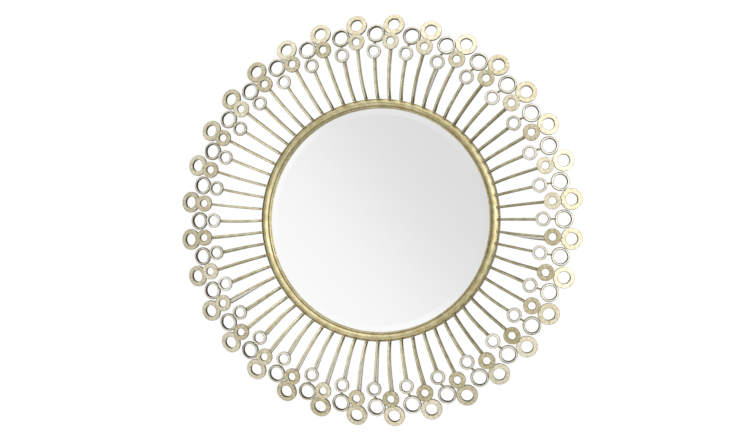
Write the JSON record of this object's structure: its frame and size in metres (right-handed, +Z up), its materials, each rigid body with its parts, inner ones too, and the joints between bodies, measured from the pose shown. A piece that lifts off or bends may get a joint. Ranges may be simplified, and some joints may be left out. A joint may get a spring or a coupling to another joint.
{
  "type": "wall mirror",
  "caption": "Round sunburst wall mirror: bevelled glass in a gold metal frame, with bowed rays that end in washers and rings.",
  "frame": {"origin": "centre of the mirror on the wall plane, where the rear rim of the frame's hoop rests", "axes": "+Z up on the wall, +X to the viewer's right, -Y out from the wall towards the viewer"},
  "size_m": [0.7996, 0.0704, 0.7996],
  "materials": {
    "frame_gold": "satin gold leaf on steel",
    "moulding_gold": "burnished gold leaf on steel",
    "ray_gold": "aged gold leaf on steel",
    "washer_leaf": "mottled pale gold leaf on steel",
    "ring_leaf": "mottled gold leaf on steel",
    "silvered_glass": "silvered, bevelled and polished",
    "tape": "matte black foam tape",
    "foam": "white closed cell foam",
    "block_rubber": "matte black",
    "board": "black painted fibreboard",
    "zinc_steel": "bright zinc",
    "hanger_brass": "brass plated"
  },
  "bodies": {
    "mirror": {"outer_hoop": "frame_gold", "front_plate": "frame_gold", "crown_moulding": "moulding_gold", "inner_bead": "moulding_gold", "mirror_glass": "silvered_glass", "glazing_tape": "tape", "foam_sheet": "foam", "setting_blocks": "block_rubber", "backing_board": "board", "board_clips": "zinc_steel", "clip_screws": "zinc_steel", "strap_hangers": "hanger_brass", "strap_screws": "zinc_steel", "long_rays": "ray_gold", "small_washers": "washer_leaf", "washer_necks": "ray_gold", "large_washers": "washer_leaf", "short_rays": "ray_gold", "small_rings": "ring_leaf", "ring_necks": "ray_gold", "large_rings": "ring_leaf"},
    "left_ring": {"d_ring_left": "hanger_brass"},
    "right_ring": {"d_ring_right": "hanger_brass"}
  },
  "joints": [
    {"name": "left_ring_swing", "type": "hinge", "parent": "mirror", "child": "left_ring", "pos_m": [-0.11, -0.0098, 0.128], "axis": [-1, 0, 0], "range_deg": [-5, 175]},
    {"name": "right_ring_swing", "type": "hinge", "parent": "mirror", "child": "right_ring", "pos_m": [0.11, -0.0098, 0.128], "axis": [-1, 0, 0], "range_deg": [-5, 175]}
  ]
}
